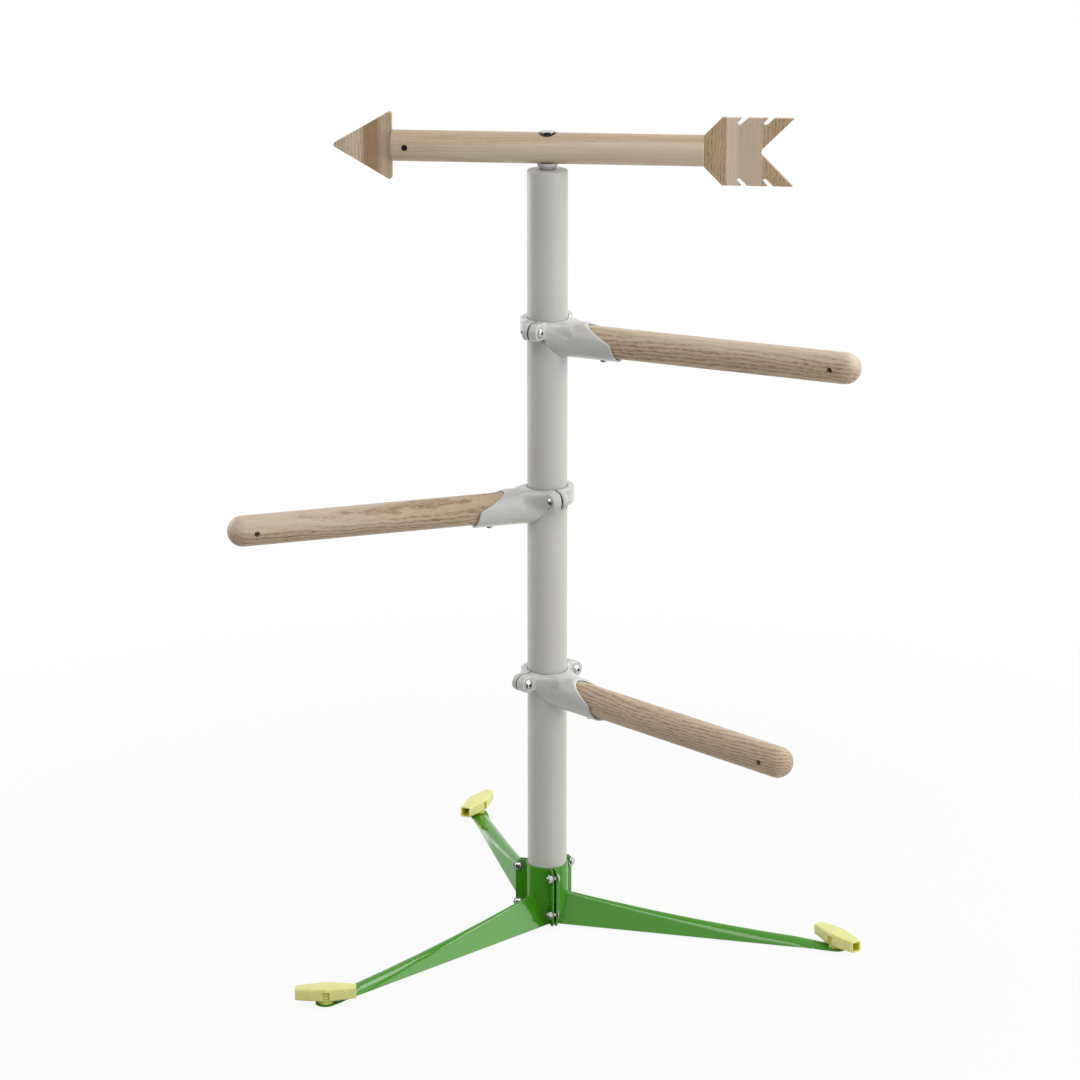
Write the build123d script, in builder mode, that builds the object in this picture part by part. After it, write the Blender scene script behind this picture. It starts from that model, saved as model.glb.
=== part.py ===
from build123d import *

import os
from math import atan2, cos, radians, sin, sqrt, tan

# A perch stand for hens that stands by itself on the ground: a steel pole held by three
# pressed sheet-steel legs, three wooden rods in cast clamps, a wooden weather arrow that
# turns on the top of the pole, and three plastic ground pegs through the feet.
# Origin: on the pole's axis at ground level, +Z up, +X to the right, +Y to the back.
# Millimetres and degrees. An azimuth is measured about +Z from +X.

# Where things stand
LEG_AZIMUTHS = {"right": -15.3, "rear": 104.7, "left": -135.3}
PERCHES = {"low": (-45.4, 316.7), "mid": (-161.7, 557.2), "high": (-25.2, 771.2)}
ARROW_AZIMUTH = -5.85
ARROW_HEIGHT = 1004.6

# Pole and its cap
POLE_R = 25.0
POLE_WALL = 1.5
POLE_FOOT = 3.0
POLE_TOP = 975.5
CAP_THICK = 2.6
CAP_BEVEL = 1.1
CAP_DISC_R = 15.0
CAP_DISC_RISE = 0.5
CAP_SKIRT = 12.0
CAP_SKIRT_WALL = 2.0
CAP_BOSS_R = 12.5

# Fasteners: coarse-threaded metric sizes
M6_R = 3.0
M6_FLATS = 10.0
M6_NUT = 5.0
M6_HOLE_R = 3.3
M6_HEAD_R = 5.3
M6_HEAD = 3.3
M6_COLLAR_R = 6.7
M6_COLLAR = 1.0
M6_SOCKET_FLATS = 4.0
M6_SOCKET_DEEP = 2.0
M10_R = 5.0
M10_FLATS = 17.0
M10_HEAD = 6.4
M10_NUT = 8.0
M10_LENGTH = 60.0
THREAD_GAP = 0.05

# Legs: pressed from one sheet, a third of the collar and a ridged channel each
SHEET = 2.0
COLLAR_GAP = 0.1
COLLAR_R = POLE_R + COLLAR_GAP
COLLAR_TOP = 77.5
EDGE_ROOT = 1.5
SHARE = 60.0
FLANGE_R = 41.0
FLANGE_GAP = 3.0
FLANGE_CHAMFER = 5.0
FLANGE_BOLT_R = 37.0
FLANGE_BOLT_ZS = (18.0, 68.0)
FLANGE_BOLT_LENGTH = 14.0
RIDGE_ROOT = 43.7
RIDGE_FALL = 0.1595
RIDGE_EASE = 1.65e-4
CHANNEL_ROOT_W = 21.6
CHANNEL_TAPER = 0.029
CHANNEL_START = 12.0
CHANNEL_END = 330.0
CHANNEL_STATIONS = 7
ROUND_ROOT = 0.16
ROUND_FOOT = 0.9
DIP_R = 351.0
DIP_RIDGE = 6.6
TAB_START = 368.0
EYE_R = 380.5
EYE_OUTER = 12.5
EYE_HOLE = 8.7

# Ground pegs: the T-handle and hub that stay above ground
PEG_TURN = -40.0
PEG_LENGTH = 74.8
PEG_END = (14.0, 14.5)
PEG_MIDDLE = (26.0, 17.0)
PEG_AXIS_Z = 14.6
PEG_CORE = (10.8, 11.2)
PEG_CORE_DEEP = 26.0
PEG_NOTCH = 12.0
PEG_HUB_R = 9.6
PEG_RIB_R = 10.6
PEG_RIB = 1.8
PEG_RIB_PITCH = 3.9
PEG_RIBS = 4
PEG_SHANK_R = 7.6
PEG_LIFT = 0.3

# Perch rods
ROD_R = 19.0
ROD_TIP = 408.7
ROD_START = 30.5
TIP_HOLE_R = 3.4
TIP_HOLE_AT = 376.0

# Perch clamps: a cast socket in front of the pole and a cast half behind it
CLAMP_CLEAR = 0.08
SADDLE_R = 33.4
SOCKET_R = 22.5
ROOT_R = 23.8
SOCKET_BORE_R = 19.5
LUG_Y = 43.0
LUG_Z = 13.5
LUG_R = 10.6
LUG_FACE = 10.0
PART_FRONT = -1.0
PART_REAR = -3.0
LUG_BACK = -9.5
NUT_POCKET = 2.3
MOUTH_TOP = 51.5
MOUTH_KNEE = (93.5, 2.0)
MOUTH_KNEE_R = 5.0
MOUTH_LIP = 98.5
FLARE = ((8.5, 25.5, 23.6), (14.0, 20.5, 23.4), (24.0, 13.0, 23.0))
FLARE_LUG_R = 9.8
FLARE_END = 42.0
CAST_EDGE = 1.5
CLAMP_BOLT_LENGTH = 25.0
SCREW_AT = 76.0
SCREW_HEAD_R = 4.2
SCREW_HEAD = 2.4
SCREW_R = 2.0
SCREW_DEEP = 14.0
SCREW_GAP = 0.3

# Weather arrow
SHAFT_R = 19.0
SHAFT_HALF = 190.0
PLATE = 9.0
TENON = (30.0, 24.0)
HEAD_SIDE = 86.0
HEAD_CORNER = 3.0
TAIL_LENGTH = 107.0
TAIL_HALF = 41.0
TAIL_CREST = 21.7
TAIL_VEE_R = 6.0
TAIL_NOTCH_W = 5.4
TAIL_NOTCH_RUN = 6.3
TAIL_NOTCHES = (48.5, 80.0)
PIN_R = 3.75
PIN_AT = 17.5
PIN_LENGTH = 36.0
HEAD_SEAT = 5.0
HEAD_SEAT_R = 11.5
FOOT_SEAT = 1.5
FOOT_SEAT_R = 14.0
TURN_CLEAR = 0.08
END_PLAY = 0.15
SPACER_TOP_R = 12.6
SPACER_FOOT_R = 9.2
SPACER_RIM = 2.6

# Heights that follow on the arrow's bolt
CAP_TOP = POLE_TOP + CAP_THICK + CAP_DISC_RISE
ARROW_SEAT = ARROW_HEIGHT - SHAFT_R + FOOT_SEAT
BOLT_SEAT = ARROW_HEIGHT + SHAFT_R - HEAD_SEAT

os.makedirs("parts", exist_ok=True)


def keep(piece, name, azimuth=0.0, radius=0.0, height=0.0, turn=0.0):
    """Stand a finished piece at its place on the stand, label it and write it."""
    with BuildPart() as placed:
        with Locations(Location((0, 0, height), (0, 0, azimuth))):
            with Locations(Location((radius, 0, 0), (0, 0, turn))):
                add(piece)
    placed.part.label = name
    export_step(placed.part, f"parts/{name}.step")


def hexagon(flats, height):
    """A hexagon blank from z = 0 up, with its corners turned off at both faces."""
    corner_r = 0.575 * flats
    turned = 0.06 * flats
    with BuildPart() as blank:
        with BuildSketch():
            RegularPolygon(flats / 2, 6, major_radius=False)
        extrude(amount=height)
        with BuildSketch(Plane.XZ):
            with BuildLine():
                Polyline(
                    (0, 0),
                    (flats / 2, 0),
                    (corner_r, turned),
                    (corner_r, height - turned),
                    (flats / 2, height),
                    (0, height),
                    close=True,
                )
            make_face()
        revolve(axis=Axis.Z, mode=Mode.INTERSECT)
    return blank.part


def hex_nut(flats, height, thread_r):
    """A hexagon nut from z = 0 up."""
    with BuildPart() as nut:
        add(hexagon(flats, height))
        Hole(thread_r + THREAD_GAP)
    return nut.part


def button_bolt(length):
    """An M6 flanged button bolt along Z: the head stands on z = 0, the shank hangs below."""
    crown_r = 0.45 * M6_HEAD_R
    with BuildPart() as bolt:
        with BuildSketch(Plane.XZ):
            with BuildLine():
                Polyline(
                    (0, 0), (M6_COLLAR_R, 0), (M6_COLLAR_R, 0.6 * M6_COLLAR), (M6_HEAD_R, M6_COLLAR)
                )
                RadiusArc((M6_HEAD_R, M6_COLLAR), (crown_r, M6_HEAD), -M6_HEAD_R)
                Polyline((crown_r, M6_HEAD), (0, M6_HEAD), (0, 0))
            make_face()
        revolve(axis=Axis.Z)
        with BuildSketch(Plane.XY.offset(M6_HEAD)):
            RegularPolygon(M6_SOCKET_FLATS / 2, 6, major_radius=False)
        extrude(amount=-M6_SOCKET_DEEP, mode=Mode.SUBTRACT)
        with BuildSketch():
            Circle(M6_R)
        extrude(amount=-length)
        chamfer(bolt.edges().sort_by(Axis.Z)[0], 0.6)
    return bolt.part


# The pole: a plain round steel tube, open at its foot inside the collar
with BuildPart() as pole:
    with BuildSketch(Plane.XY.offset(POLE_FOOT)):
        Circle(POLE_R)
        Circle(POLE_R - POLE_WALL, mode=Mode.SUBTRACT)
    extrude(amount=POLE_TOP - POLE_FOOT)
keep(pole.part, "pole")

# The cap: a moulded plug with a skirt in the tube and a boss that keeps the nut
with BuildPart() as pole_cap:
    with BuildSketch(Plane.XY.offset(POLE_TOP)):
        Circle(POLE_R)
    extrude(amount=CAP_THICK)
    chamfer(pole_cap.edges().sort_by(Axis.Z)[-1], CAP_BEVEL)
    with BuildSketch(Plane.XY.offset(POLE_TOP + CAP_THICK)):
        Circle(CAP_DISC_R)
    extrude(amount=CAP_DISC_RISE)
    with BuildSketch(Plane.XY.offset(POLE_TOP)):
        skirt_r = POLE_R - POLE_WALL - COLLAR_GAP
        Circle(skirt_r)
        Circle(skirt_r - CAP_SKIRT_WALL, mode=Mode.SUBTRACT)
        Circle(CAP_BOSS_R)
    extrude(amount=-CAP_SKIRT)
    with BuildSketch(Plane.XY.offset(POLE_TOP - CAP_SKIRT)):
        RegularPolygon(M10_FLATS / 2 + COLLAR_GAP, 6, major_radius=False)
    extrude(amount=M10_NUT, mode=Mode.SUBTRACT)
    with BuildSketch(Plane.XY.offset(POLE_TOP - CAP_SKIRT)):
        Circle(M10_R + TURN_CLEAR)
    extrude(amount=CAP_SKIRT + CAP_THICK + CAP_DISC_RISE, mode=Mode.SUBTRACT)
keep(pole_cap.part, "pole_cap")
keep(hex_nut(M10_FLATS, M10_NUT, M10_R), "arrow_nut", height=POLE_TOP - CAP_SKIRT)

# The spacer: a turned bush that carries the arrow clear of the cap
with BuildPart() as arrow_spacer:
    with BuildSketch(Plane.XZ):
        spacer_top = ARROW_SEAT - END_PLAY
        with BuildLine():
            Polyline(
                (M10_R + TURN_CLEAR, CAP_TOP),
                (SPACER_FOOT_R, CAP_TOP),
                (SPACER_TOP_R, spacer_top - SPACER_RIM),
                (SPACER_TOP_R, spacer_top),
                (M10_R + TURN_CLEAR, spacer_top),
                close=True,
            )
        make_face()
    revolve(axis=Axis.Z)
keep(arrow_spacer.part, "arrow_spacer")

# The bolt that the arrow turns on: a hexagon head with its corners turned off
with BuildPart() as arrow_bolt:
    add(hexagon(M10_FLATS, M10_HEAD))
    with BuildSketch(Plane.XY.offset(M10_HEAD / 2)):
        Circle(M10_R)
    extrude(amount=-(M10_LENGTH + M10_HEAD / 2))
    chamfer(arrow_bolt.edges().sort_by(Axis.Z)[0], 1.0)
keep(arrow_bolt.part, "arrow_bolt", height=BOLT_SEAT + END_PLAY)


def ridge_height(r):
    """The height of a leg's ridge at this distance from the pole's axis."""
    return RIDGE_ROOT - RIDGE_FALL * r + RIDGE_EASE * r * r


def channel_outline(r, inset):
    """The leg's section at this distance: two walls up to a rounded ridge, closed below.

    The ridge is a curve whose control point is where the two walls would meet, and the
    part of each wall that it takes up grows from the root to the foot.
    """
    way = (r - CHANNEL_START) / (CHANNEL_END - CHANNEL_START)
    round_share = min(ROUND_ROOT + (ROUND_FOOT - ROUND_ROOT) * way, ROUND_FOOT)
    ridge = ridge_height(r) if r <= CHANNEL_END else DIP_RIDGE
    edge = EDGE_ROOT * (TAB_START - r) / (TAB_START - CHANNEL_START)
    half = CHANNEL_ROOT_W - CHANNEL_TAPER * r
    peak = (ridge - round_share * edge / 2) / (1 - round_share / 2)
    if inset:
        slope = atan2(peak - edge, half)
        peak -= inset / cos(slope)
        edge -= inset
        half = (peak - edge) / tan(slope)
        round_share = round_share**1.3
    shoulder_y = half * round_share
    shoulder_z = peak - (peak - edge) * round_share
    Line((-half, edge), (-shoulder_y, shoulder_z))
    Bezier((-shoulder_y, shoulder_z), (0, peak), (shoulder_y, shoulder_z))
    Line((shoulder_y, shoulder_z), (half, edge))
    Line((half, edge), (-half, edge))


def tab_outline():
    """The leg's section where it has become flat sheet."""
    Line((-EYE_OUTER, 0), (-EYE_OUTER, SHEET))
    Bezier((-EYE_OUTER, SHEET), (0, SHEET), (EYE_OUTER, SHEET))
    Line((EYE_OUTER, SHEET), (EYE_OUTER, 0))
    Line((EYE_OUTER, 0), (-EYE_OUTER, 0))


step = (CHANNEL_END - CHANNEL_START) / (CHANNEL_STATIONS - 1)
channel_rs = [CHANNEL_START + step * i for i in range(CHANNEL_STATIONS)] + [DIP_R]

# A leg: a third of the collar with two flanges, and a ridged channel that runs out of the
# collar to a flat foot with an eye
with BuildPart() as leg:
    flange_out = Vector(cos(radians(SHARE)), sin(radians(SHARE)))
    flange_away = Vector(-sin(radians(SHARE)), cos(radians(SHARE)))
    # Half of the collar, up to the gap between two flanges
    with BuildSketch(Plane.XY.offset(EDGE_ROOT)):
        Circle(COLLAR_R + SHEET)
        Circle(COLLAR_R, mode=Mode.SUBTRACT)
        with BuildLine():
            slit = (FLANGE_GAP / 2 / sin(radians(SHARE)), 0)
            rim = flange_out * FLANGE_R - flange_away * (FLANGE_GAP / 2)
            Polyline(slit, (FLANGE_R, 0), (FLANGE_R, rim.Y), (rim.X, rim.Y), close=True)
        make_face(mode=Mode.INTERSECT)
    extrude(amount=COLLAR_TOP - EDGE_ROOT)
    # One flange, with its outer corners cut off and two bolt holes
    flange_plane = Plane(
        origin=-flange_away * (FLANGE_GAP / 2), x_dir=flange_out, z_dir=-flange_away
    )
    with BuildSketch(flange_plane):
        with Locations(((COLLAR_R + FLANGE_R) / 2, (EDGE_ROOT + COLLAR_TOP) / 2)):
            blank = Rectangle(FLANGE_R - COLLAR_R, COLLAR_TOP - EDGE_ROOT)
        chamfer(blank.vertices().group_by(Axis.X)[-1], FLANGE_CHAMFER)
        with Locations(*[(FLANGE_BOLT_R, z) for z in FLANGE_BOLT_ZS]):
            Circle(M6_HOLE_R, mode=Mode.SUBTRACT)
    extrude(amount=SHEET)
    mirror(about=Plane.XZ)
    # The channel, a solid ridge first
    for r in channel_rs:
        with BuildSketch(Plane(origin=(r, 0, 0), x_dir=(0, 1, 0), z_dir=(1, 0, 0))):
            with BuildLine():
                channel_outline(r, 0)
            make_face()
    with BuildSketch(Plane(origin=(TAB_START, 0, 0), x_dir=(0, 1, 0), z_dir=(1, 0, 0))):
        with BuildLine():
            tab_outline()
        make_face()
    loft(ruled=True)
    # The foot's tab, and its eye
    with BuildSketch():
        with Locations(((TAB_START + EYE_R) / 2, 0)):
            Rectangle(EYE_R - TAB_START, 2 * EYE_OUTER)
        with Locations((EYE_R, 0)):
            Circle(EYE_OUTER)
            Circle(EYE_HOLE, mode=Mode.SUBTRACT)
    extrude(amount=SHEET)
    # Hollow the ridge to the sheet's thickness, and clear the pole
    for r in channel_rs:
        with BuildSketch(Plane(origin=(r, 0, 0), x_dir=(0, 1, 0), z_dir=(1, 0, 0))):
            with BuildLine():
                channel_outline(r, SHEET)
            make_face()
    loft(ruled=True, mode=Mode.SUBTRACT)
    with BuildSketch():
        Circle(COLLAR_R)
    extrude(amount=COLLAR_TOP, mode=Mode.SUBTRACT)
for name, azimuth in LEG_AZIMUTHS.items():
    keep(leg.part, f"leg_{name}", azimuth)

# The collar's fasteners: two bolts and nuts through each pair of flanges
flange_face = FLANGE_GAP / 2 + SHEET
for name, piece, side in (
    ("collar_bolts", button_bolt(FLANGE_BOLT_LENGTH), 1),
    ("collar_nuts", hex_nut(M6_FLATS, M6_NUT, M6_R), -1),
):
    with BuildPart() as fasteners:
        for azimuth in LEG_AZIMUTHS.values():
            with Locations(Location((0, 0, 0), (0, 0, azimuth + SHARE))):
                with Locations(
                    *[
                        Location((FLANGE_BOLT_R, side * flange_face, z), (-90 * side, 0, 0))
                        for z in FLANGE_BOLT_ZS
                    ]
                ):
                    add(piece)
    keep(fasteners.part, name)


# A ground peg: a moulded T-handle with hollow arms, on a ribbed hub that turns in the eye
with BuildPart() as peg:
    arm_reach = PEG_LENGTH / 2
    for side in (1, -1):
        for x, size in ((0, PEG_MIDDLE), (side * arm_reach, PEG_END)):
            with BuildSketch(Plane(origin=(x, 0, PEG_AXIS_Z), x_dir=(0, 1, 0), z_dir=(1, 0, 0))):
                RectangleRounded(*size, 2.4)
        loft()
    # The notch in each side, where the hub shows
    notch_top = PEG_AXIS_Z + PEG_MIDDLE[1] / 2 - 4.5
    with BuildSketch():
        with Locations((0, PEG_MIDDLE[0] / 2), (0, -PEG_MIDDLE[0] / 2)):
            SlotOverall(PEG_NOTCH, 9.0, rotation=90)
    extrude(amount=notch_top, mode=Mode.SUBTRACT)
    # The hub, its ribs and the shank in the eye
    for r, low, high in (
        (PEG_SHANK_R, PEG_LIFT, SHEET + PEG_LIFT),
        (PEG_HUB_R, SHEET + PEG_LIFT, notch_top),
    ):
        with BuildSketch(Plane.XY.offset(low)):
            Circle(r)
        extrude(amount=high - low)
    for i in range(PEG_RIBS):
        with BuildSketch(Plane.XY.offset(SHEET + PEG_LIFT + i * PEG_RIB_PITCH)):
            Circle(PEG_RIB_R)
        extrude(amount=PEG_RIB)
    # The hollow in each arm
    for side in (1, -1):
        with BuildSketch(Plane((side * arm_reach, 0, PEG_AXIS_Z), (0, 1, 0), (side, 0, 0))):
            Rectangle(*PEG_CORE)
        extrude(amount=-PEG_CORE_DEEP, mode=Mode.SUBTRACT)
for name, azimuth in LEG_AZIMUTHS.items():
    keep(peg.part, f"peg_{name}", azimuth, radius=EYE_R, turn=PEG_TURN)


def lug_circles(lug_y, lug_r, middle_r=0.0):
    """The circles that a clamp's outline is wrapped round: a lug each side, and a middle."""
    CenterArc((-lug_y, LUG_Z), lug_r, 0, 360)
    CenterArc((lug_y, LUG_Z), lug_r, 0, 360)
    if middle_r:
        CenterArc((0, 0), middle_r, 0, 360)


# A perch clamp's front half: a bar with two lugs, flared into the socket for the rod
with BuildPart() as socket:
    with BuildSketch(Plane.YZ.offset(PART_FRONT)):
        with BuildLine():
            lug_circles(LUG_Y, LUG_R)
        make_hull()
        Circle(ROOT_R)
    extrude(amount=LUG_FACE - PART_FRONT)
    fillet(socket.edges().group_by(Axis.X)[-1], CAST_EDGE)
    # The flare narrows in a hollow curve from between the bolt heads to the socket's round
    for q, lug_y, middle_r in FLARE:
        with BuildSketch(Plane.YZ.offset(q)):
            with BuildLine():
                lug_circles(lug_y, FLARE_LUG_R, middle_r)
            make_hull()
    with BuildSketch(Plane.YZ.offset(FLARE_END)):
        Circle(SOCKET_R)
    loft()
    with BuildSketch(Plane.YZ.offset(FLARE_END)):
        Circle(SOCKET_R)
    extrude(amount=MOUTH_LIP - FLARE_END)
    # The mouth: slanted back above a rounded knee, and nearly square below it
    with BuildSketch(Plane.XZ):
        beyond = MOUTH_LIP + SOCKET_R
        with BuildLine():
            Polyline(
                (MOUTH_TOP, beyond),
                (MOUTH_TOP, SOCKET_R),
                MOUTH_KNEE,
                (MOUTH_LIP, -SOCKET_R),
                (beyond, -SOCKET_R),
                (beyond, beyond),
                close=True,
            )
        cut = make_face()
        fillet(cut.vertices().sort_by_distance((*MOUTH_KNEE, 0))[0], MOUTH_KNEE_R)
    extrude(amount=SOCKET_R, both=True, mode=Mode.SUBTRACT)
    # The rod's bore, the pole's half round and the bolt and screw holes
    with BuildSketch(Plane.YZ.offset(ROD_START)):
        Circle(SOCKET_BORE_R)
    extrude(amount=MOUTH_LIP, mode=Mode.SUBTRACT)
    with BuildSketch(Plane.XY.offset(-ROOT_R)):
        Circle(POLE_R + CLAMP_CLEAR)
    extrude(amount=2 * ROOT_R + LUG_R, mode=Mode.SUBTRACT)
    with BuildSketch(Plane.YZ.offset(PART_FRONT)):
        with Locations((-LUG_Y, LUG_Z), (LUG_Y, LUG_Z)):
            Circle(M6_HOLE_R)
    extrude(amount=LUG_FACE - PART_FRONT, mode=Mode.SUBTRACT)
    with BuildSketch(Plane.XY.offset(-SOCKET_R)):
        with Locations((SCREW_AT, 0)):
            Circle(SCREW_R + SCREW_GAP)
    extrude(amount=SOCKET_R, mode=Mode.SUBTRACT)

# Its rear half: a band with lugs, and a six-sided pocket for each nut
with BuildPart() as clamp:
    with BuildSketch(Plane.YZ.offset(PART_REAR)):
        with BuildLine():
            lug_circles(LUG_Y, LUG_R)
        make_hull()
    extrude(amount=-SADDLE_R - PART_REAR)
    with BuildSketch(Plane.XY.offset(-SOCKET_R)):
        Circle(SADDLE_R)
        with Locations(((PART_REAR + LUG_BACK) / 2, 0)):
            Rectangle(PART_REAR - LUG_BACK, 2 * (LUG_Y + LUG_R))
    extrude(amount=SOCKET_R + LUG_Z + LUG_R, mode=Mode.INTERSECT)
    with BuildSketch(Plane.XY.offset(-SOCKET_R)):
        Circle(POLE_R + CLAMP_CLEAR)
    extrude(amount=2 * SOCKET_R + LUG_R, mode=Mode.SUBTRACT)
    with BuildSketch(Plane.YZ.offset(LUG_BACK)):
        with Locations((-LUG_Y, LUG_Z), (LUG_Y, LUG_Z)):
            RegularPolygon(M6_FLATS / 2 + COLLAR_GAP, 6, major_radius=False, rotation=30)
    extrude(amount=NUT_POCKET, mode=Mode.SUBTRACT)
    with BuildSketch(Plane.YZ.offset(LUG_BACK)):
        with Locations((-LUG_Y, LUG_Z), (LUG_Y, LUG_Z)):
            Circle(M6_HOLE_R)
    extrude(amount=PART_REAR - LUG_BACK, mode=Mode.SUBTRACT)

# The bolts across the lugs, heads to the front, and their nuts in the pockets
lug_spots = [(-LUG_Y, LUG_Z), (LUG_Y, LUG_Z)]
with BuildPart() as clamp_bolts:
    with Locations(*[Location((LUG_FACE, y, z), (0, 90, 0)) for y, z in lug_spots]):
        add(button_bolt(CLAMP_BOLT_LENGTH))
with BuildPart() as clamp_nuts:
    nut_face = LUG_BACK + NUT_POCKET
    with Locations(*[Location((nut_face, y, z), (0, -90, 0)) for y, z in lug_spots]):
        add(hex_nut(M6_FLATS, M6_NUT, M6_R))

# The rod: a round wooden bar with a round end, a cross hole and a screw hole beneath
with BuildPart() as rod:
    with BuildSketch(Plane.XZ):
        with BuildLine():
            crown = ROD_TIP - ROD_R
            Polyline((crown, ROD_R), (ROD_START, ROD_R), (ROD_START, 0), (ROD_TIP, 0))
            RadiusArc((crown, ROD_R), (ROD_TIP, 0), ROD_R)
        make_face()
    revolve(axis=Axis.X)
    with BuildSketch(Plane.XZ):
        with Locations((TIP_HOLE_AT, 0)):
            Circle(TIP_HOLE_R)
    extrude(amount=ROD_R, both=True, mode=Mode.SUBTRACT)
    with BuildSketch(Plane.XY.offset(-ROD_R)):
        with Locations((SCREW_AT, 0)):
            Circle(SCREW_R + THREAD_GAP)
    extrude(amount=SCREW_DEEP, mode=Mode.SUBTRACT)

# The screw that holds the rod in its socket, head against the socket's underside
with BuildPart() as screw:
    with BuildSketch(Plane.XY.offset(-SOCKET_R)):
        with Locations((SCREW_AT, 0)):
            Circle(SCREW_HEAD_R)
    extrude(amount=-SCREW_HEAD)
    fillet(screw.edges().sort_by(Axis.Z)[0], 0.6 * SCREW_HEAD)
    with BuildSketch(Plane.XY.offset(-SOCKET_R)):
        with Locations((SCREW_AT, 0)):
            Circle(SCREW_R)
    extrude(amount=SCREW_DEEP)
    chamfer(screw.edges().sort_by(Axis.Z)[-1], 1.2, 0.8 * SCREW_R)

for name, (azimuth, height) in PERCHES.items():
    for piece, label in (
        (socket, "perch_socket"),
        (clamp, "perch_clamp"),
        (clamp_bolts, "clamp_bolts"),
        (clamp_nuts, "clamp_nuts"),
        (rod, "perch_rod"),
        (screw, "rod_screw"),
    ):
        keep(piece.part, f"{label}_{name}", azimuth, height=height)

# The arrow's shaft: a round bar bored for the bolt, with a mortise in each end
with BuildPart() as arrow_shaft:
    with BuildSketch(Plane.YZ.offset(-SHAFT_HALF)):
        Circle(SHAFT_R)
    extrude(amount=2 * SHAFT_HALF)
    chamfer(arrow_shaft.edges().filter_by(GeomType.CIRCLE), 0.6)
    with BuildSketch(Plane.XZ):
        with Locations(
            (-SHAFT_HALF + TENON[0] / 2, 0), (SHAFT_HALF - TENON[0] / 2, 0)
        ):
            Rectangle(*TENON)
    extrude(amount=PLATE / 2, both=True, mode=Mode.SUBTRACT)
    for r, low, high in (
        (M10_R + TURN_CLEAR, -SHAFT_R, SHAFT_R),
        (HEAD_SEAT_R, SHAFT_R - HEAD_SEAT, SHAFT_R),
        (FOOT_SEAT_R, -SHAFT_R, -SHAFT_R + FOOT_SEAT),
    ):
        with BuildSketch(Plane.XY.offset(low)):
            Circle(r)
        extrude(amount=high - low, mode=Mode.SUBTRACT)
    with BuildSketch(Plane.XZ):
        with Locations((-SHAFT_HALF + PIN_AT, 0)):
            Circle(PIN_R)
    extrude(amount=SHAFT_R, both=True, mode=Mode.SUBTRACT)

# The arrow's head: a three-sided plate with a tenon in the shaft's mortise
with BuildPart() as arrow_head:
    with BuildSketch(Plane.XZ):
        head_r = HEAD_SIDE / sqrt(3)
        with Locations((-SHAFT_HALF - head_r / 2, 0)):
            head = RegularPolygon(head_r, 3, rotation=180)
        fillet(head.vertices(), HEAD_CORNER)
        with Locations((-SHAFT_HALF + TENON[0] / 2, 0)):
            Rectangle(*TENON)
        with Locations((-SHAFT_HALF + PIN_AT, 0)):
            Circle(PIN_R, mode=Mode.SUBTRACT)
    extrude(amount=PLATE / 2, both=True)

# The arrow's tail: a plate cut as feathers, with a vee in its end and four slanted notches
with BuildPart() as arrow_tail:
    with BuildSketch(Plane.XZ):
        with Locations((SHAFT_HALF - TENON[0] / 2, 0)):
            Rectangle(*TENON)
        crest = SHAFT_HALF + TAIL_CREST
        end = SHAFT_HALF + TAIL_LENGTH
        with BuildLine():
            Polyline(
                (SHAFT_HALF, -SHAFT_R),
                (SHAFT_HALF, SHAFT_R),
                (crest, TAIL_HALF),
                (end, TAIL_HALF),
                (end - TAIL_HALF, 0),
                (end, -TAIL_HALF),
                (crest, -TAIL_HALF),
                close=True,
            )
        feathers = make_face()
        vee = feathers.vertices().sort_by_distance((end - TAIL_HALF, 0, 0))[0]
        fillet(vee, TAIL_VEE_R)
        for x in TAIL_NOTCHES:
            for side in (1, -1):
                # Each notch is a slot from beyond the edge to its round end
                run = TAIL_NOTCH_RUN
                with Locations((SHAFT_HALF + x, side * TAIL_HALF)):
                    SlotCenterPoint(
                        (0, 0), (-run, -side * run), TAIL_NOTCH_W, mode=Mode.SUBTRACT
                    )
    extrude(amount=PLATE / 2, both=True)

# The dark pin across the shaft's front end, through the head's tenon
with BuildPart() as arrow_pin:
    with BuildSketch(Plane.XZ):
        with Locations((-SHAFT_HALF + PIN_AT, 0)):
            Circle(PIN_R)
    extrude(amount=PIN_LENGTH / 2, both=True)
    chamfer(arrow_pin.edges().filter_by(GeomType.CIRCLE), 0.5)

for piece, name in (
    (arrow_shaft, "arrow_shaft"),
    (arrow_head, "arrow_head"),
    (arrow_tail, "arrow_tail"),
    (arrow_pin, "arrow_pin"),
):
    keep(piece.part, name, ARROW_AZIMUTH, height=ARROW_HEIGHT)
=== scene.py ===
import math

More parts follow.
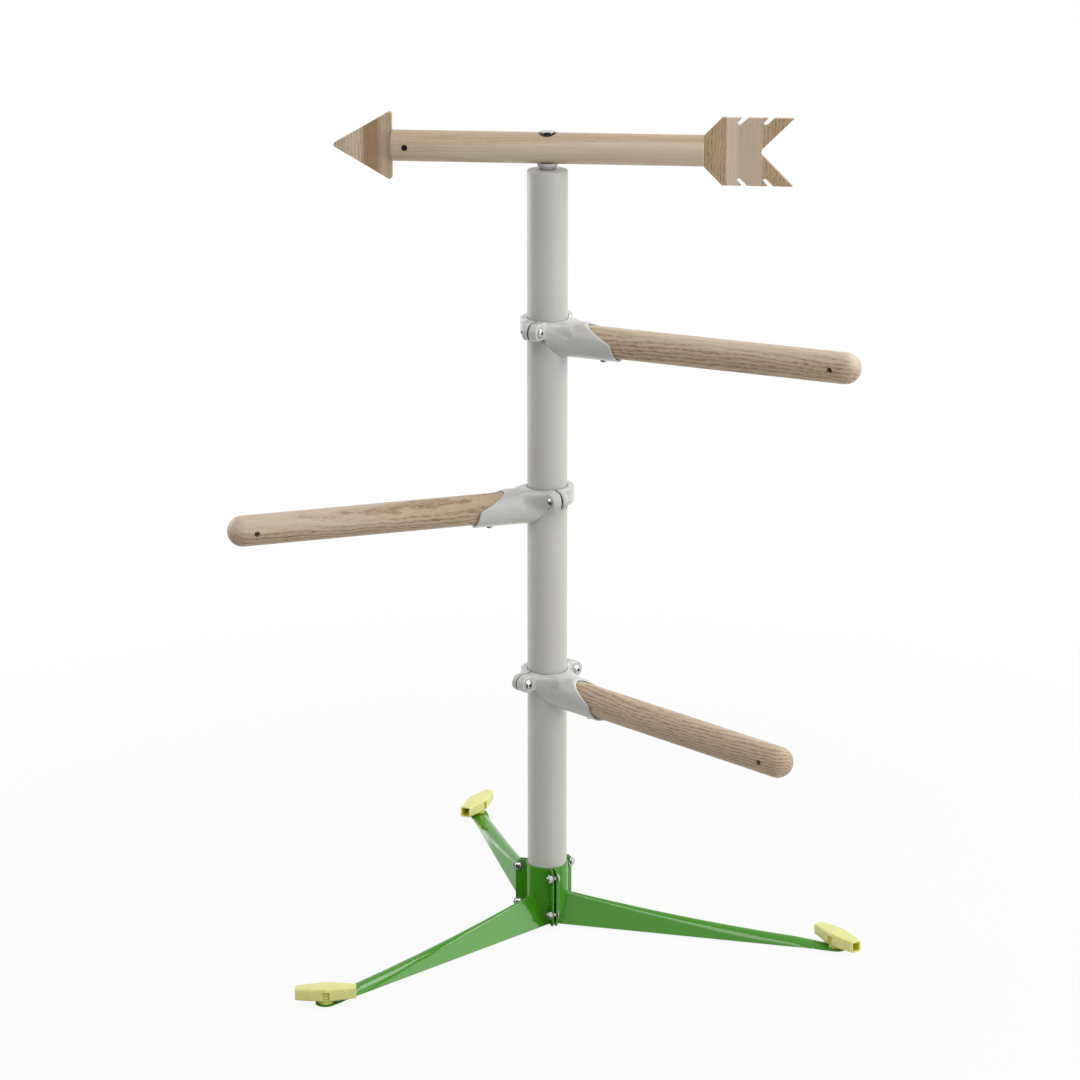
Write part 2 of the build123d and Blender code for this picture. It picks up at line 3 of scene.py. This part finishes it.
import bpy
import numpy as np
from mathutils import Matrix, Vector


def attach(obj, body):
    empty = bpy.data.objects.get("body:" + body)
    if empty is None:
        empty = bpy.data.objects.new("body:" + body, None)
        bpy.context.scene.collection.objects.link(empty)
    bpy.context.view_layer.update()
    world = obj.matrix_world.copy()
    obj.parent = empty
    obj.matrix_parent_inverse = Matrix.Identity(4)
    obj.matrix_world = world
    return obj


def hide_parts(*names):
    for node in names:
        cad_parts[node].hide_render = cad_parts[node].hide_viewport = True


# A freestanding perch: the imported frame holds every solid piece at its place, in metres,
# with +Z up along the pole and the pole's foot at the origin.
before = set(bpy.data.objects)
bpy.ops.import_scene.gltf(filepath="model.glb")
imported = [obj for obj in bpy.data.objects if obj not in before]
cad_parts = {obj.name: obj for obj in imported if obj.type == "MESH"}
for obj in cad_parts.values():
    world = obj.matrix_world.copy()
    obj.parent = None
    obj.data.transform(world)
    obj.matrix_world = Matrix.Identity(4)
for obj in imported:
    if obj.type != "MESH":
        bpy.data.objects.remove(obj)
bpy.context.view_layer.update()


# The studio
# A camera at standing height four metres off, with a long lens. Softboxes stand to the
# right, behind on both sides and above the front, so the low front left stays dark.
CAMERA_AT = (-0.0091, -4.1119, 1.7454)
CAMERA_DIP = 16.734
LENS_MM = 114.334
SENSOR_MM = 36.0

camera_data = bpy.data.cameras.new("studio_camera")
camera_data.sensor_width = SENSOR_MM
camera_data.lens = LENS_MM
camera = bpy.data.objects.new("studio_camera", camera_data)
camera.location = CAMERA_AT
camera.rotation_euler = (math.radians(90.0 - CAMERA_DIP), 0.0, 0.0)
bpy.context.scene.collection.objects.link(camera)
bpy.context.scene.camera = camera
bpy.context.scene.view_settings.view_transform = "Standard"

STAND_MIDDLE = Vector((0.0, 0.0, 0.5))


def softbox(name, azimuth, elevation, away, width, height, watts):
    """An area lamp on a sphere round the stand's middle, turned to face it."""
    lamp = bpy.data.lights.new(name, "AREA")
    lamp.shape = "RECTANGLE"
    lamp.size = width
    lamp.size_y = height
    lamp.energy = watts
    holder = bpy.data.objects.new(name, lamp)
    a, e = math.radians(azimuth), math.radians(elevation)
    towards = Vector((math.cos(a) * math.cos(e), math.sin(a) * math.cos(e), math.sin(e)))
    holder.location = STAND_MIDDLE + towards * away
    holder.rotation_mode = "QUATERNION"
    holder.rotation_quaternion = towards.to_track_quat("Z", "Y")
    bpy.context.scene.collection.objects.link(holder)


# Azimuth and elevation in degrees, metres away, metres wide and high, and watts.
softbox("softbox_right", -26.0, 16.0, 3.4, 3.0, 2.6, 44.0)
softbox("softbox_back_right", 24.0, 42.0, 3.2, 2.2, 1.6, 50.0)
softbox("softbox_left", 146.0, 14.0, 3.4, 2.8, 2.4, 52.0)
softbox("softbox_top", -100.0, 52.0, 2.8, 3.2, 0.8, 26.0)


# The floor and the room
# A smooth white studio floor in a white room. The camera sees both as white, with a faint
# shadow under the legs. In reflections both are dark towards the front left.
WHITE = (1.0, 1.0, 1.0)
FLOOR_HALF = 14.0
FLOOR_DROP = 0.0004
FLOOR_GREY = 0.70
SHADOW_SHARE = 0.12
SHADOW_REACH = (0.5, 1.5)
DARK_TOWARDS = (-0.64, -0.74, 0.10)
DARK_FLOOR_EDGE = (0.20, 0.72)
DARK_ROOM_EDGE = (0.10, 0.82)
DARK_ROOM_TOP = (0.22, 0.46)
DARK_LEVEL = 0.04
ROOM_FILL = 0.44


class Field:
    """A value that changes over a surface. Sums, products and the like add their nodes."""

    def __init__(self, tree, socket=None):
        self.tree = tree
        self.socket = socket

    def node(self, kind, settings, sockets, out=0):
        """Any node: its settings first, then values or links for its sockets."""
        made = self.tree.nodes.new(kind)
        for key, value in settings.items():
            if key == "stops":
                ramp = made.color_ramp
                while len(ramp.elements) < len(value):
                    ramp.elements.new(1.0)
                for element, (position, colour) in zip(ramp.elements, value):
                    element.position = position
                    element.color = (*colour, 1.0)
            else:
                setattr(made, key, value)
        for key, value in sockets.items():
            if isinstance(value, Field):
                self.tree.links.new(value.socket, made.inputs[key])
            else:
                made.inputs[key].default_value = value
        return Field(self.tree, None if out is None else made.outputs[out])

    def maths(self, operation, a, b=0.0):
        return self.node("ShaderNodeMath", {"operation": operation}, {0: a, 1: b})

    def __add__(self, other):
        return self.maths("ADD", self, other)

    __radd__ = __add__

    def __sub__(self, other):
        return self.maths("SUBTRACT", self, other)

    def __rsub__(self, other):
        return self.maths("SUBTRACT", other, self)

    def __mul__(self, other):
        return self.maths("MULTIPLY", self, other)

    __rmul__ = __mul__

    def root(self):
        return self.maths("SQRT", self)

    def fraction(self):
        return self.maths("FRACT", self)

    def rise(self, low, high):
        """0 where this is under low, 1 over high, and a smooth slope between."""
        ends = {"Value": self, "From Min": low, "From Max": high}
        return self.node("ShaderNodeMapRange", {"interpolation_type": "SMOOTHSTEP"}, ends)

    def blend(self, a, b):
        """Colour a where this is 0 and colour b where it is 1."""
        a, b = [c if isinstance(c, Field) else (*c, 1.0) for c in (a, b)]
        settings = {"data_type": "RGBA", "clamp_factor": True}
        return self.node("ShaderNodeMix", settings, {0: self, 6: a, 7: b}, 2)

    def noise(self, waves, detail):
        """Noise at this place, with so many waves to the metre along each axis."""
        scale = {"operation": "MULTIPLY"}
        scaled = self.node("ShaderNodeVectorMath", scale, {0: self, 1: waves})
        sockets = {"Vector": scaled, "Scale": 1.0, "Detail": detail}
        return self.node("ShaderNodeTexNoise", {}, sockets)


corners = [
    (x * FLOOR_HALF, y * FLOOR_HALF, -FLOOR_DROP) for x, y in ((-1, -1), (1, -1), (1, 1), (-1, 1))
]
floor_mesh = bpy.data.meshes.new("floor")
floor_mesh.from_pydata(corners, [], [(0, 1, 2, 3)])
floor = bpy.data.objects.new("floor", floor_mesh)
bpy.context.scene.collection.objects.link(floor)
floor_paint = bpy.data.materials.new("floor_white")
floor_paint.use_nodes = True
floor_paint.node_tree.nodes.clear()
ground = Field(floor_paint.node_tree)
camera_ray = ground.node("ShaderNodeLightPath", {}, {}, "Is Camera Ray")
gloss_ray = ground.node("ShaderNodeLightPath", {}, {}, "Is Glossy Ray")
spot = ground.node("ShaderNodeTexCoord", {}, {}, "Object")
away = ground.node("ShaderNodeVectorMath", {"operation": "LENGTH"}, {0: spot}, "Value")
bearing = ground.node("ShaderNodeVectorMath", {"operation": "NORMALIZE"}, {0: spot})
facing = {0: bearing, 1: (DARK_TOWARDS[0], DARK_TOWARDS[1], 0.0)}
darkness = ground.node("ShaderNodeVectorMath", {"operation": "DOT_PRODUCT"}, facing, "Value")
darkness = gloss_ray * darkness.rise(*DARK_FLOOR_EDGE)
glow_colour = darkness.blend(WHITE, (DARK_LEVEL, DARK_LEVEL, DARK_LEVEL))
glow = ground.node("ShaderNodeEmission", {}, {"Color": glow_colour, "Strength": 1.0})
grey = {"Color": (FLOOR_GREY, FLOOR_GREY, FLOOR_GREY, 1.0)}
matt = ground.node("ShaderNodeBsdfDiffuse", {}, grey)
white_share = 1.0 - SHADOW_SHARE * (1.0 - away.rise(*SHADOW_REACH))
factor = (camera_ray + gloss_ray) * white_share
seen = ground.node("ShaderNodeMixShader", {}, {0: factor, 1: matt, 2: glow})
ground.node("ShaderNodeOutputMaterial", {}, {"Surface": seen}, None)
floor_mesh.materials.append(floor_paint)

world = bpy.data.worlds.new("studio_world")
bpy.context.scene.world = world
world.use_nodes = True
room = Field(world.node_tree)
camera_ray = room.node("ShaderNodeLightPath", {}, {}, "Is Camera Ray")
gloss_ray = room.node("ShaderNodeLightPath", {}, {}, "Is Glossy Ray")
towards = room.node("ShaderNodeTexCoord", {}, {}, "Generated")
height = room.node("ShaderNodeSeparateXYZ", {}, {0: towards}, 2)
facing = {0: towards, 1: DARK_TOWARDS}
darkness = room.node("ShaderNodeVectorMath", {"operation": "DOT_PRODUCT"}, facing, "Value")
darkness = darkness.rise(*DARK_ROOM_EDGE) * (1.0 - height.rise(*DARK_ROOM_TOP))
light = 1.0 - darkness * (1.0 - DARK_LEVEL)
light = light * (gloss_ray * (1.0 - ROOM_FILL) + ROOM_FILL)
strength = camera_ray + (1.0 - camera_ray) * light
background = world.node_tree.nodes["Background"]
background.inputs["Color"].default_value = (*WHITE, 1.0)
world.node_tree.links.new(strength.socket, background.inputs["Strength"])


# The pole, its cap and the arrow's spacer
# A round steel tube with a moulded cap, both in the same light warm grey. The tube is
# powder coated, which leaves a very fine orange peel, and the cap and spacer are satin.
GREY = (0.530, 0.524, 0.498)
# The painted shade in nooks: how far it looks, where it fades in and out, and the share of the
# colour it leaves.
PAINTED_SHADE_REACH = 0.007
PAINTED_SHADE_EDGE = (0.12, 0.66)
PAINTED_SHADE_SHARE = 0.42
CLOUD_WAVES = (7.0, 7.0, 7.0)
CLOUD_EDGE = (0.3, 0.7)
CLOUD_TINTS = (0.97, 1.03)
CLOUD_ROUGHNESS = 0.10
PAINTED_SHADE_RAYS = 8
EDGE_RAYS = 6


def surface(name, colour, roughness, **sockets):
    """A new material with one Principled shader; returns it and its object-space place."""
    made = bpy.data.materials.new(name)
    made.use_nodes = True
    shader = made.node_tree.nodes["Principled BSDF"]
    shader.inputs["Base Color"].default_value = (*colour, 1.0)
    shader.inputs["Roughness"].default_value = roughness
    for key, value in sockets.items():
        shader.inputs[key.replace("_", " ")].default_value = value
    place = Field(made.node_tree).node("ShaderNodeTexCoord", {}, {}, "Object")
    return made, shader, place


def drive(shader, socket, field):
    """Feed one of the shader's sockets from a field."""
    shader.id_data.links.new(field.socket, shader.inputs[socket])


def dimple(shader, height, depth, edge):
    """Raise and lower the surface by a field, over edges rounded to a radius, in metres."""
    rounded = height.node("ShaderNodeBevel", {"samples": EDGE_RAYS}, {"Radius": edge})
    sockets = {"Height": height, "Distance": depth, "Normal": rounded}
    drive(shader, "Normal", height.node("ShaderNodeBump", {}, sockets))


def openness(place, reach):
    """0 deep in a nook, 1 where nothing of the same stand is within the reach."""
    rays = {"samples": PAINTED_SHADE_RAYS}
    return place.node("ShaderNodeAmbientOcclusion", rays, {"Distance": reach}, "AO")


def tint(colour, share):
    """A colour made lighter or darker by a share."""
    return tuple(c * share for c in colour)


def powder_coat(name, colour, roughness, peel, depth, edge, **sockets):
    """Baked powder: an even colour with a fine pebbled skin, and painted shade in its nooks.
    The peel is in pebbles to the metre. Its depth and the edge's round are in metres."""
    coat, shader, place = surface(name, colour, roughness, **sockets)
    pebble = place.noise((peel, peel, peel), 1.0)
    cloud = place.noise(CLOUD_WAVES, 3.0)
    even = cloud.rise(*CLOUD_EDGE).blend(*(tint(colour, share) for share in CLOUD_TINTS))
    # Painted shade: the colour darkens to a share of itself where nearby parts crowd round.
    unshaded = openness(place, PAINTED_SHADE_REACH).rise(*PAINTED_SHADE_EDGE)
    drive(shader, "Base Color", unshaded.blend(tint(colour, PAINTED_SHADE_SHARE), even))
    drive(shader, "Roughness", (cloud - 0.5) * CLOUD_ROUGHNESS + roughness)
    dimple(shader, pebble, depth, edge)
    return coat


def dress(material, *names):
    """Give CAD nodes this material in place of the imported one."""
    for name in names:
        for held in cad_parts[name].material_slots:
            held.material = material


# Both coats paint shade into their nooks.
pole_coat = powder_coat(
    "pole_powder_coat", GREY, roughness=0.34, peel=900.0, depth=0.00005, edge=0.0004
)
cap_satin = powder_coat(
    "cap_moulding", GREY, roughness=0.48, peel=2200.0, depth=0.00002, edge=0.0006
)
dress(pole_coat, "pole")
dress(cap_satin, "pole_cap", "arrow_spacer")


# The perch clamps
# Two aluminium castings bolted round the pole, the front one flared into a socket for the
# rod. The mould leaves their inner corners filled and their edges worn to a small round.
LEVELS = ("low", "mid", "high")
VOXEL = 0.0008
CALM_ROUNDS = 3
CALM_PACE = 0.5
CORNER_BEND = (0.000018, 0.000060)
FILL_REACH = 7
FILL_SPREAD = 1.6
FILL_ROUNDS = 34
FILL_PACE = 0.7


def vertex_table(mesh, attribute):
    """The vertices' places or normals, a row for each."""
    flat = np.empty(3 * len(mesh.vertices))
    mesh.vertices.foreach_get(attribute, flat)
    return flat.reshape(-1, 3)


def neighbour_mean(values, edges, degree):
    """Each vertex's mean over its neighbours, for a table of one or three columns."""
    ends = np.concatenate((edges[:, 0], edges[:, 1]))
    others = np.concatenate((edges[:, 1], edges[:, 0]))
    sums = [np.bincount(ends, column[others], len(degree)) for column in values.T]
    return np.array(sums).T / degree[:, None]


def cast_skin(name, body, coat):
    """The piece as it leaves the mould, in the place of its plain solid."""
    rough = bpy.data.objects.new(f"{name}_rough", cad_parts[name].data.copy())
    bpy.context.scene.collection.objects.link(rough)
    remesh = rough.modifiers.new("even_faces", "REMESH")
    remesh.mode = "VOXEL"
    remesh.voxel_size = VOXEL
    graph = bpy.context.evaluated_depsgraph_get()
    mesh = bpy.data.meshes.new_from_object(rough.evaluated_get(graph))
    bpy.data.objects.remove(rough)
    edges = np.empty(2 * len(mesh.edges), dtype=np.int32)
    mesh.edges.foreach_get("vertices", edges)
    edges = edges.reshape(-1, 2)
    degree = np.bincount(edges.ravel(), minlength=len(mesh.vertices)).astype(float)

    # The voxels' steps are calmed first, so that the bend below is the casting's own.
    place = vertex_table(mesh, "co")
    for _ in range(CALM_ROUNDS):
        place += (neighbour_mean(place, edges, degree) - place) * CALM_PACE
    mesh.vertices.foreach_set("co", place.ravel())
    mesh.update()

    # Inner corners are where the neighbours stand out of the surface. They are widened
    # a little and then filled.
    normal = vertex_table(mesh, "normal")
    bend = ((neighbour_mean(place, edges, degree) - place) * normal).sum(axis=1)
    low, high = CORNER_BEND
    corner = np.clip((bend - low) / (high - low), 0.0, 1.0)[:, None]
    for _ in range(FILL_REACH):
        wider = neighbour_mean(corner, edges, degree) * FILL_SPREAD
        corner = np.maximum(corner, np.clip(wider, 0.0, 1.0))
    for _ in range(FILL_ROUNDS):
        place += corner * (neighbour_mean(place, edges, degree) - place) * FILL_PACE
    mesh.vertices.foreach_set("co", place.ravel())
    mesh.polygons.foreach_set("use_smooth", np.ones(len(mesh.polygons), dtype=bool))
    mesh.materials.clear()
    mesh.materials.append(coat)
    mesh.update()
    skin = bpy.data.objects.new(f"{name}_cast", mesh)
    bpy.context.scene.collection.objects.link(skin)
    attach(skin, body)
    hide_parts(name)


for level in LEVELS:
    cast_coat = powder_coat(
        f"cast_powder_coat_{level}", GREY, roughness=0.34, peel=520.0, depth=0.00005,
        edge=0.0006, Coat_Weight=0.6, Coat_Roughness=0.18,
    )
    cast_skin(f"perch_socket_{level}", f"perch_{level}", cast_coat)
    cast_skin(f"perch_clamp_{level}", f"perch_{level}", cast_coat)


# The legs
# Three pressings of two-millimetre sheet steel that close round the pole and run out to
# flat feet. They are coated in a leaf green gloss that mirrors the softboxes in long strips.
GREEN = (0.056, 0.280, 0.009)
green_coat = powder_coat(
    "leg_green_gloss", GREEN, roughness=0.40, peel=650.0, depth=0.00003, edge=0.0006,
    Specular_IOR_Level=0.0, Coat_Weight=0.95, Coat_Roughness=0.10, Coat_IOR=1.53,
)
dress(green_coat, "leg_right", "leg_rear", "leg_left")


# The ground pegs
# Moulded T-handles in a pale yellow-green plastic that lets a little light through. The hollows
# get a painted deeper yellow, painted light that stands in for the glow through the plastic
# there.
# A faint flow pattern and a soft gloss are left by the mould.
YELLOW = (0.745, 0.740, 0.280)
# The painted light in the hollows: its yellow, how far it looks, and where it fades in and out.
PAINTED_HOLLOW_YELLOW = (0.720, 0.700, 0.030)
PAINTED_HOLLOW_REACH = 0.014
PAINTED_HOLLOW_EDGE = (0.20, 0.70)
FLOW_WAVES = (60.0, 60.0, 25.0)
FLOW_EDGE = (0.3, 0.7)
FLOW_TINTS = (0.96, 1.05)
FLOW_ROUGHNESS = 0.12
PEG_ROUGHNESS = 0.36
PEG_GRAIN_WAVES = (1400.0, 1400.0, 1400.0)

plastic, shader, place = surface(
    "peg_plastic", YELLOW, PEG_ROUGHNESS, Subsurface_Weight=0.35, Subsurface_Scale=0.006
)
shader.inputs["Subsurface Radius"].default_value = (1.0, 0.9, 0.35)
flow = place.noise(FLOW_WAVES, 3.0)
skin = flow.rise(*FLOW_EDGE).blend(*(tint(YELLOW, share) for share in FLOW_TINTS))
# Painted light: the hollows turn a deeper yellow where the plastic is closed in.
unshaded = openness(place, PAINTED_HOLLOW_REACH).rise(*PAINTED_HOLLOW_EDGE)
drive(shader, "Base Color", unshaded.blend(PAINTED_HOLLOW_YELLOW, skin))
drive(shader, "Roughness", (flow - 0.5) * FLOW_ROUGHNESS + PEG_ROUGHNESS)
dimple(shader, place.noise(PEG_GRAIN_WAVES, 1.0), depth=0.00003, edge=0.0006)
dress(plastic, "peg_right", "peg_rear", "peg_left")


# The bolts, nuts and screws
# Cold-formed steel with bright zinc plate: M6 flanged button heads and nuts on the collar
# and clamps, one M10 bolt on the pole's top, and a wood screw under each socket.
ZINC = (0.58, 0.58, 0.59)
ZINC_DULL = (0.46, 0.46, 0.48)
# The painted shade in tight nooks: its near black colour, how far it looks, and where it fades.
ZINC_PAINTED_SHADE = (0.06, 0.06, 0.065)
ZINC_PAINTED_SHADE_REACH = 0.003
ZINC_PAINTED_SHADE_EDGE = (0.25, 0.85)
ZINC_ROUGHNESS = 0.14
GRAIN_WAVES = (900.0, 900.0, 900.0)
GRAIN_ROUGHNESS = 0.10
BLOOM_WAVES = (160.0, 160.0, 160.0)
BLOOM_EDGE = (0.35, 0.7)

zinc, shader, place = surface("zinc_plate", ZINC, ZINC_ROUGHNESS, Metallic=1.0)
grain = place.noise(GRAIN_WAVES, 3.0)
plated = place.noise(BLOOM_WAVES, 2.0).rise(*BLOOM_EDGE).blend(ZINC, ZINC_DULL)
# Painted shade: the plate turns near black where other parts crowd in close.
unshaded = openness(place, ZINC_PAINTED_SHADE_REACH).rise(*ZINC_PAINTED_SHADE_EDGE)
drive(shader, "Base Color", unshaded.blend(ZINC_PAINTED_SHADE, plated))
drive(shader, "Roughness", (grain - 0.5) * GRAIN_ROUGHNESS + ZINC_ROUGHNESS)
dimple(shader, grain, depth=0.00001, edge=0.0003)
dress(zinc, "collar_bolts", "collar_nuts", "arrow_bolt", "arrow_nut")
for level in LEVELS:
    dress(zinc, f"clamp_bolts_{level}", f"clamp_nuts_{level}", f"rod_screw_{level}")


# The perch rods and the arrow's shaft
# Turned ash, oiled. Each bar's grain runs along it: quiet pale faces, and stripes where the
# rings come up at a slant and their open pores show as short brown dashes.
PERCHES = {"low": (-45.4, 0.3167), "mid": (-161.7, 0.5572), "high": (-25.2, 0.7712)}
ARROW_AZIMUTH = -5.85
ARROW_HEIGHT = 1.0046
WOOD_PALE = (0.590, 0.484, 0.362)
WOOD_TAN = (0.500, 0.372, 0.240)
RING_BROWN = (0.345, 0.215, 0.112)
PORE_BROWN = (0.240, 0.140, 0.068)

# How far the tree's middle lies from the bar's, to the side and below, and how the trunk
# bends: waves to the metre along, across and up the bar, and metres of bend.
PITH = (0.021, 0.034)
SWAY_WAVES, SWAY = (5.0, 18.0, 18.0), 0.020
DRIFT_WAVES, DRIFT = (2.6, 9.0, 9.0), 0.034
RIPPLE_WAVES, RIPPLE = (34.0, 120.0, 120.0), 0.0060

# A year's ring: its open pores start and end at these shares of its width.
RINGS_PER_METRE = 250.0
PORES_START = (0.0, 0.10)
PORES_END = (0.25, 0.75)
RING_STRENGTH = 0.45

# The stripes, with the share of their figure that the quiet faces keep.
STRIPE_WAVES = (1.6, 30.0, 30.0)
STRIPE_EDGE = (0.40, 0.56)
STRIPE_TAN = 0.75
QUIET_SHARE = 0.22

# The pores' dashes, in the early wood and elsewhere, and the fibre between them.
DASH_WAVES = (140.0, 1150.0, 1150.0)
DASH_EDGE = (0.48, 0.60)
EARLY_PORES = 0.8
STRAY_PORES = 0.16
FIBRE_WAVES = (14.0, 480.0, 480.0)
FIBRE_CONTRAST = 1.5
FIBRE_TINTS = ((0.90, 0.885, 0.87), (1.07, 1.07, 1.07))

# The oiled face: pores and fibre make it duller, and pores sink in.
WOOD_ROUGHNESS = 0.46
PORE_ROUGHNESS = 0.25
FIBRE_ROUGHNESS = 0.2
FIBRE_RELIEF = 0.25

# A glued board's joints wander by this much.
STAVE_WAVES, STAVE_WANDER = (14.0, 40.0, 40.0), 0.0030


def timber(name, azimuth, height, shift, pith=PITH, figure=1.0, staves=None):
    """Ash for a bar that lies along an azimuth at a height. With staves it is a board with
    upright grain: their reach along the bar, their tints and their strength of figure."""
    wood, shader, place = surface(name, WOOD_PALE, WOOD_ROUGHNESS)
    settle = {"Rotation": (0.0, 0.0, -math.radians(azimuth)), "Location": (0.0, 0.0, -height)}
    local = place.node("ShaderNodeMapping", {"vector_type": "POINT"}, {"Vector": place, **settle})
    axes = [local.node("ShaderNodeSeparateXYZ", {}, {0: local}, i) for i in range(3)]
    along, deep, over = (axes[2], axes[1], axes[0]) if staves else axes
    grained = local.node("ShaderNodeCombineXYZ", {}, {0: along + shift, 1: deep, 2: over})

    side = deep + (grained.noise(SWAY_WAVES, 2.0) - 0.5) * SWAY + pith[0]
    rise = over + (grained.noise(DRIFT_WAVES, 1.0) - 0.5) * DRIFT + pith[1]
    ripple = (grained.noise(RIPPLE_WAVES, 3.0) - 0.5) * RIPPLE
    ring = (side * side + rise * rise).root() + ripple
    year = (ring * RINGS_PER_METRE).fraction()
    early = year.rise(*PORES_START) * (1.0 - year.rise(*PORES_END))

    if staves:
        low, high, tints, strengths = staves
        wander = (grained.noise(STAVE_WAVES, 1.0) - 0.5) * STAVE_WANDER
        reach = {"Value": axes[0] + wander, "From Min": low, "From Max": high}
        across = local.node("ShaderNodeMapRange", {}, reach)
        tone = across.node("ShaderNodeValToRGB", {"stops": tints}, {0: across})
        greys = [(position, (value, value, value)) for position, value in strengths]
        amount = across.node("ShaderNodeValToRGB", {"stops": greys}, {0: across})
    else:
        stripe = grained.noise(STRIPE_WAVES, 1.0).rise(*STRIPE_EDGE)
        tone = (stripe * STRIPE_TAN).blend(WOOD_PALE, WOOD_TAN)
        amount = stripe * (1.0 - QUIET_SHARE) + QUIET_SHARE

    dash = grained.noise(DASH_WAVES, 3.0).rise(*DASH_EDGE)
    pores = dash * (early * EARLY_PORES + STRAY_PORES) * amount * figure
    fibre = grained.noise(FIBRE_WAVES, 3.0) - 0.5
    tone = (early * amount * (RING_STRENGTH * figure)).blend(tone, RING_BROWN)
    tone = pores.blend(tone, PORE_BROWN)
    speck = (fibre * FIBRE_CONTRAST + 0.5).blend(*FIBRE_TINTS)
    shade = {"data_type": "RGBA", "blend_type": "MULTIPLY"}
    drive(shader, "Base Color", tone.node("ShaderNodeMix", shade, {0: 1.0, 6: tone, 7: speck}, 2))
    duller = pores * PORE_ROUGHNESS + fibre * FIBRE_ROUGHNESS
    drive(shader, "Roughness", duller + WOOD_ROUGHNESS)
    dimple(shader, fibre * FIBRE_RELIEF - pores, depth=0.00016, edge=0.0005)
    return wood


# Each bar's shift takes its grain from another stretch of the trunk.
for number, (level, (azimuth, height)) in enumerate(PERCHES.items()):
    dress(timber(f"rod_ash_{level}", azimuth, height, 1.7 * number + 0.4), f"perch_rod_{level}")

shaft_ash = timber("shaft_ash", ARROW_AZIMUTH, ARROW_HEIGHT, shift=7.3, figure=0.35)
dress(shaft_ash, "arrow_shaft")


# The arrow's head and tail
# Boards of the same ash, nine millimetres thick, glued from staves with upright grain, so
# each board steps from a strong brown stave to paler ones across its length.
STAVE_TAN = (0.490, 0.360, 0.215)
STAVE_BROWN = (0.400, 0.255, 0.135)
STAVE_PALE = (0.650, 0.530, 0.400)
STAVE_DULL = (0.555, 0.440, 0.330)

# Where a board starts and ends along the arrow, in metres from the pole's axis. Then its
# tints, and its figure's strengths, each at a share of the way from start to end.
HEAD_STAVES = (-0.2645, -0.190, [
    (0.0, STAVE_PALE), (0.16, STAVE_DULL), (0.30, STAVE_PALE), (0.50, STAVE_PALE),
    (0.55, STAVE_BROWN), (0.76, STAVE_BROWN), (0.86, STAVE_DULL), (1.0, STAVE_TAN),
], [(0.0, 0.9), (0.30, 0.35), (0.50, 0.7), (0.60, 0.9), (0.80, 0.3)])
TAIL_STAVES = (0.190, 0.297, [
    (0.0, STAVE_TAN), (0.245, STAVE_TAN), (0.26, STAVE_PALE), (0.36, STAVE_PALE),
    (0.40, STAVE_DULL), (0.64, STAVE_DULL), (0.67, STAVE_TAN), (1.0, STAVE_TAN),
], [(0.0, 0.9), (0.245, 0.9), (0.26, 0.12), (0.64, 0.15), (0.68, 0.85)])
head_ash = timber(
    "head_ash", ARROW_AZIMUTH, ARROW_HEIGHT, shift=11.1, pith=(0.030, 0.30), staves=HEAD_STAVES
)
tail_ash = timber(
    "tail_ash", ARROW_AZIMUTH, ARROW_HEIGHT, shift=13.6, pith=(0.030, -0.14), staves=TAIL_STAVES
)
dress(head_ash, "arrow_head")
dress(tail_ash, "arrow_tail")


# The cross pin
# A blackened steel pin through the shaft's front end and the head's tenon, ground flat
# just below the wood. The blacking is a little uneven in its gloss.
PIN_BLACK = (0.030, 0.024, 0.030)
PIN_WAVES = (800.0, 800.0, 800.0)
PIN_ROUGHNESS = (0.25, 0.55)

pin_black, shader, place = surface("pin_black", PIN_BLACK, PIN_ROUGHNESS[0], Metallic=0.6)
uneven = place.noise(PIN_WAVES, 2.0) * (PIN_ROUGHNESS[1] - PIN_ROUGHNESS[0])
drive(shader, "Roughness", uneven + PIN_ROUGHNESS[0])
dress(pin_black, "arrow_pin")
